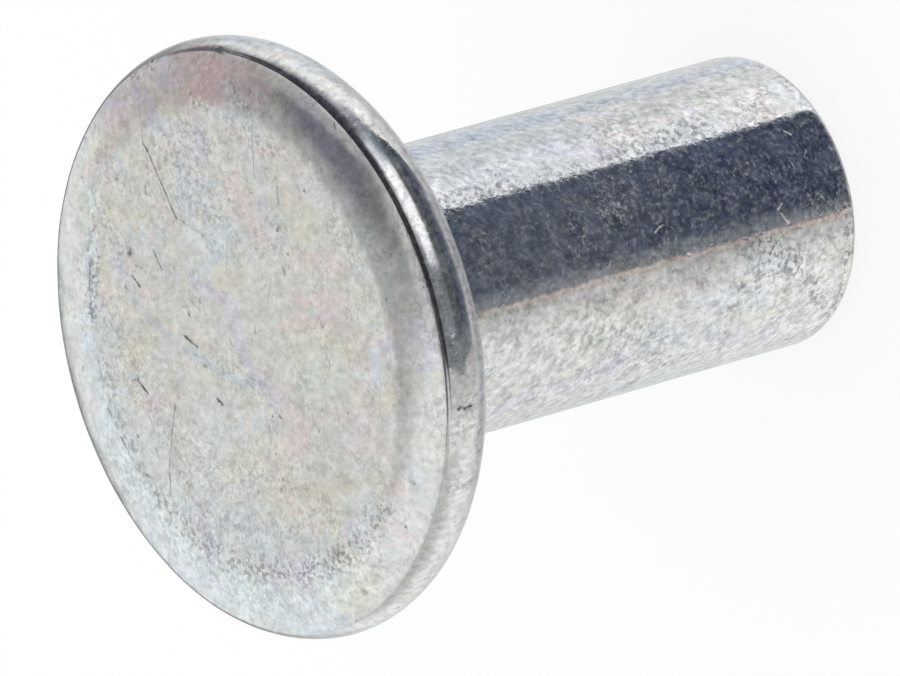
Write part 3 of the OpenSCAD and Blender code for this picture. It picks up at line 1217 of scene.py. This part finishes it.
def tinted(tree, place, colour, fainter):
    """Faint interference colours all over."""
    for tint, size, seed, low, high, strength in TINTS:
        spread = noise_at(tree, place, size, seed, detail=3.0, stretch=(1, 1.3, 1.2), rough=0.62)
        mask = times(tree, ramp(tree, spread, low, high, to_high=strength), fainter)
        colour = blend(tree, mask, colour, tint)
    return colour


def patched(tree, place, colour, fainter):
    """Painted patches of colour, with ragged edges and uneven depth."""
    drawn_out = (1, 1.4, 1.4)
    swing = 1.7
    wobble = noise_at(tree, place, 0.45, seed=51.0, detail=4.0, stretch=drawn_out, rough=0.7)
    wobble = between(tree, wobble, -swing, swing)
    depth = noise_at(tree, place, 0.8, seed=57.0, detail=3.0, stretch=drawn_out, rough=0.6)
    depth = ramp(tree, depth, 0.36, 0.60, to_low=0.5)
    for name, (tint, strength, ragged) in PATCH_TINTS.items():
        shade = read_attribute(tree, name)
        edge = times_plus(tree, wobble, ragged, shade)
        mask = ramp(tree, edge, 0.45, 0.80, to_high=strength)
        mask = times(tree, mask, ramp(tree, shade, 0.0, 0.2))
        mask = times(tree, times(tree, mask, depth), fainter)
        colour = blend(tree, mask, colour, tint)
    return colour


def soiled(tree, colour, layers):
    """Dirt in the marks, the pits and the scuffs."""
    dark = 0.0
    for name, share in DIRT_SHARES.items():
        dark = maths(tree, "MAXIMUM", dark, times(tree, layers[name], share))
    return blend(tree, dark, colour, DIRT)


def clouded(tree, colour, layers, zones):
    """Cloudy tone of the plate, with painted highlights in the glints and the highlit sides, and lighter
    at the end of the shank.
    """
    tone = add_up(tree, layers, LIGHTER, maths(tree, "ADD", zones["lighter end"], 1.0))
    cloudier = times(tree, zones["coarse"], between(tree, zones["rim"], 1.0, 0.5))
    for name, (on_the_top, elsewhere) in SWINGS.items():
        swing = between(tree, cloudier, on_the_top, elsewhere)
        tone = times_plus(tree, maths(tree, "SUBTRACT", layers[name], 0.5), swing, tone)
    return scaled(tree, colour, tone)


def plate_colour(tree, place, layers, zones):
    """Silver with faint colours, fainter still where it was tumbled hard, and then dirt and clouds."""
    fainter = between(tree, zones["coarse"], 1.0, 0.6)
    colour = tinted(tree, place, SILVER, fainter)
    colour = patched(tree, place, colour, fainter)
    colour = soiled(tree, colour, layers)
    return clouded(tree, colour, layers, zones)


def shank_dulling(tree, layers, zones):
    """Duller metal on the shank, growing towards the head and where the cool shank tint lies, and hardly
    any on the rim.
    """
    dulling = times_plus(tree, zones["rim"], -0.04, zones["duller upwards"])
    dulling = times_plus(tree, zones["by the head"], 0.032, dulling)
    return times_plus(tree, layers["cool veil"], 0.022, dulling)


def plate_oxide(tree, layers, zones):
    """Pale oxide in flecks, clouds and marks, partly a painted highlight in the glints and the highlit
    sides, and a dulling over the shank that grows towards the head. It dulls the metal a little.
    """
    coarse = zones["coarse"]
    oxide = times(tree, add_up(tree, layers, OXIDE_SHARES), zones["oxidised"])
    oxide = times(tree, oxide, between(tree, zones["by the head"], 1.0, 0.6))
    oxide = times_plus(tree, shank_dulling(tree, layers, zones), coarse, oxide)
    oxide = times(tree, oxide, between(tree, coarse, 0.15, 1.0))
    return maths(tree, "MINIMUM", times_plus(tree, layers["pale"], 0.95, oxide), 1.0)


def plate_roughness(tree, layers):
    rough = ramp(tree, layers["bloom"], 0.38, 0.72, to_low=0.06, to_high=0.13)
    return add_up(tree, layers, ROUGHER, rough)


def plate_relief(tree, layers):
    bump = add_node(tree, "ShaderNodeBump", None, {"Strength": 1.0, "Distance": MICRON})
    join(tree, add_up(tree, layers, RELIEF), bump.inputs["Height"])
    return bump.outputs["Normal"]


def zinc_material():
    material, tree = new_material("bright zinc plate")
    metres = add_node(tree, "ShaderNodeTexCoord").outputs["Object"]
    place = scaled(tree, metres, 1 / MM)
    zones = plate_zones(tree, place)
    layers = plate_layers(tree, place, zones)
    metal = maths(tree, "SUBTRACT", 1.0, plate_oxide(tree, layers, zones))
    shader = add_node(tree, "ShaderNodeBsdfPrincipled")
    join(tree, metal, shader.inputs["Metallic"])
    join(tree, plate_colour(tree, place, layers, zones), shader.inputs["Base Color"])
    join(tree, plate_roughness(tree, layers), shader.inputs["Roughness"])
    join(tree, plate_relief(tree, layers), shader.inputs["Normal"])
    put_out(tree, shader.outputs[0])
    return material


def finish_rivet(rivet):
    rivet.data.materials.append(zinc_material())
    make_active(rivet)
    bpy.ops.object.shade_smooth_by_angle(angle=SMOOTH_ANGLE)
    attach(rivet, "root")
    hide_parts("rivet")


make_camera()
make_world()
make_floor()
finish_rivet(worn_rivet())
bpy.context.scene.view_settings.view_transform = "Standard"
